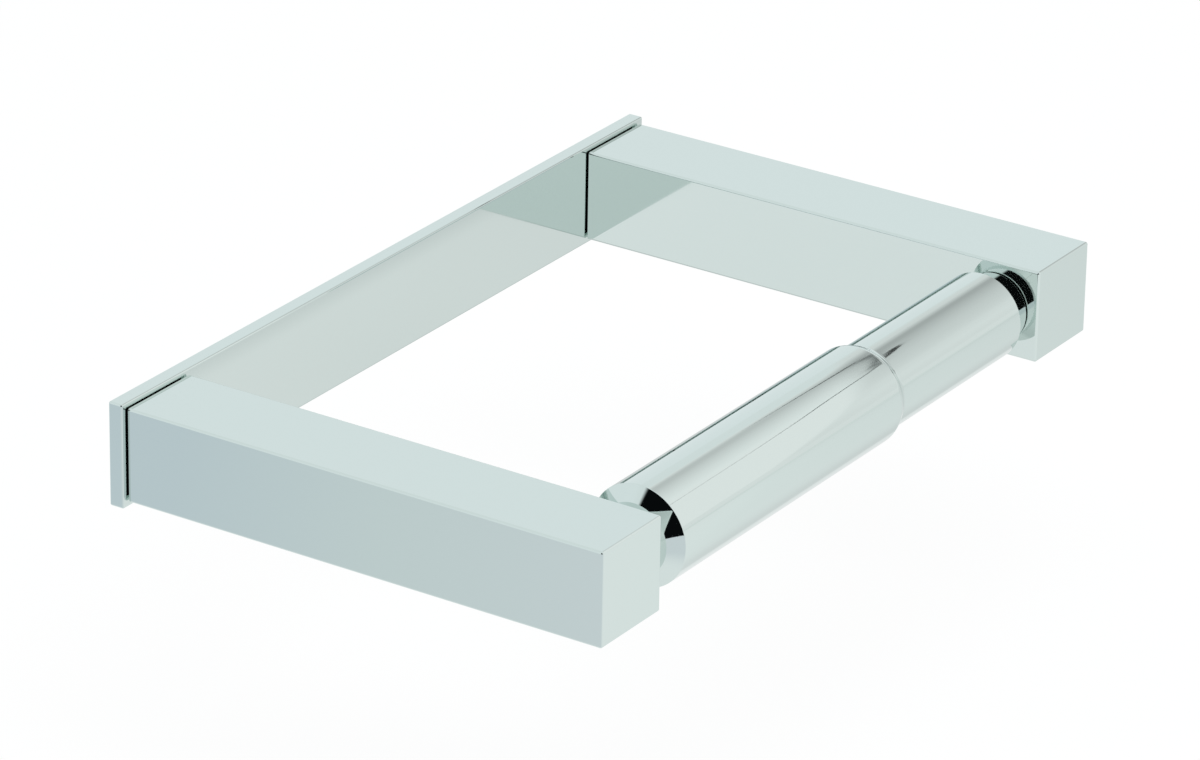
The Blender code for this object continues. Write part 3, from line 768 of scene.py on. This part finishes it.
def paintedReflectionCard(name):
    # card whose painted reflection tone is min(tone by y times lift, limit by y). The lift falls from the
    # wide half to the narrow one over x - slant times the distance to the roller's axis
    c = cards
    material, tree = emptyMaterial(name)
    place = addNode(tree, "ShaderNodeTexCoord").outputs["Object"]
    parts = addNode(tree, "ShaderNodeSeparateXYZ", links={0: place})
    front, back = c["greyY"]
    share = addNode(tree, "ShaderNodeMapRange", {"From Min": front * mm, "From Max": back * mm},
                    {"Value": parts.outputs["Y"]})
    tones, limits = (addNode(tree, "ShaderNodeValToRGB", {"stops": rampStops(c[key])},
                             {"Fac": share.outputs["Result"]}) for key in ("tones", "limits"))
    across = addNode(tree, "ShaderNodeVectorMath", {"operation": "MULTIPLY", 1: (0.0, 1.0, 1.0)},
                     {0: place})
    away = addNode(tree, "ShaderNodeVectorMath",
                   {"operation": "DISTANCE", 1: (0.0, roller["axisY"] * mm, 0.0)}, {0: across.outputs[0]})
    seenFrom = addNode(tree, "ShaderNodeMath", {"operation": "MULTIPLY_ADD", 1: -c["slant"]},
                       {0: away.outputs["Value"], 2: parts.outputs["X"]})
    wide, narrow = c["wideToNarrow"]
    lift = addNode(tree, "ShaderNodeMapRange",
                   {"From Min": wide * mm, "From Max": narrow * mm, "To Min": c["lift"], "To Max": 1.0},
                   {"Value": seenFrom.outputs[0]})
    lifted = addNode(tree, "ShaderNodeVectorMath", {"operation": "SCALE"},
                     {0: tones.outputs["Color"], "Scale": lift.outputs["Result"]})
    capped = addNode(tree, "ShaderNodeVectorMath", {"operation": "MINIMUM"},
                     {0: lifted.outputs[0], 1: limits.outputs["Color"]})
    glow = addNode(tree, "ShaderNodeEmission", {"Strength": 1.0}, {"Color": capped.outputs[0]})
    addNode(tree, "ShaderNodeOutputMaterial", links={"Surface": glow.outputs[0]})
    return material


def makeCards():
    # the strip's sides stand half its width off its line, at right angles to the way it runs
    c = cards
    (left, right), (front, back) = c["greyX"], c["greyY"]
    corners = [(left, front), (right, front), (right, back), (left, back)]
    addCard("greyCard", corners, [(0, 1, 2, 3)], c["height"], paintedReflectionCard("grey card"))
    strip = np.array(c["strip"], float)
    line, width, count = strip[:, :2], strip[:, 2:], len(strip)
    along = np.gradient(line, axis=0)
    along /= np.linalg.norm(along, axis=1)[:, None]
    off = np.stack([-along[:, 1], along[:, 0]], axis=1) * width / 2
    addCard("darkStrip", np.concatenate([line - off, line + off]),
            [(i, i + 1, count + i + 1, count + i) for i in range(count - 1)], c["height"] - c["step"],
            plainCard("dark strip", c["stripColour"]))
    for order, (name, (colour, corners)) in enumerate(c["flags"].items(), 2):
        addCard(name, corners, [tuple(range(len(corners)))], c["height"] - order * c["step"],
                plainCard(name, colour))


lamp = {
    "place": (-300.0, -500.0, 1400.0),
    "size": 1200.0,
    "energy": 8.5,
}


def makeLamp():
    # a square soft box that points at the origin; mirrors don't show it
    light = bpy.data.lights.new("softOverhead", "AREA")
    light.shape = "SQUARE"
    light.size = lamp["size"] * mm
    light.energy = lamp["energy"]
    item = bpy.data.objects.new("softOverhead", light)
    place = Vector(lamp["place"]) * mm
    item.location = place
    item.rotation_euler = (-place).to_track_quat("-Z", "Y").to_euler()
    item.visible_glossy = False
    scene.collection.objects.link(item)


makeFloor()
makeWorld()
makeCards()
makeLamp()
scene.view_settings.view_transform = "Standard"
print("studio set")
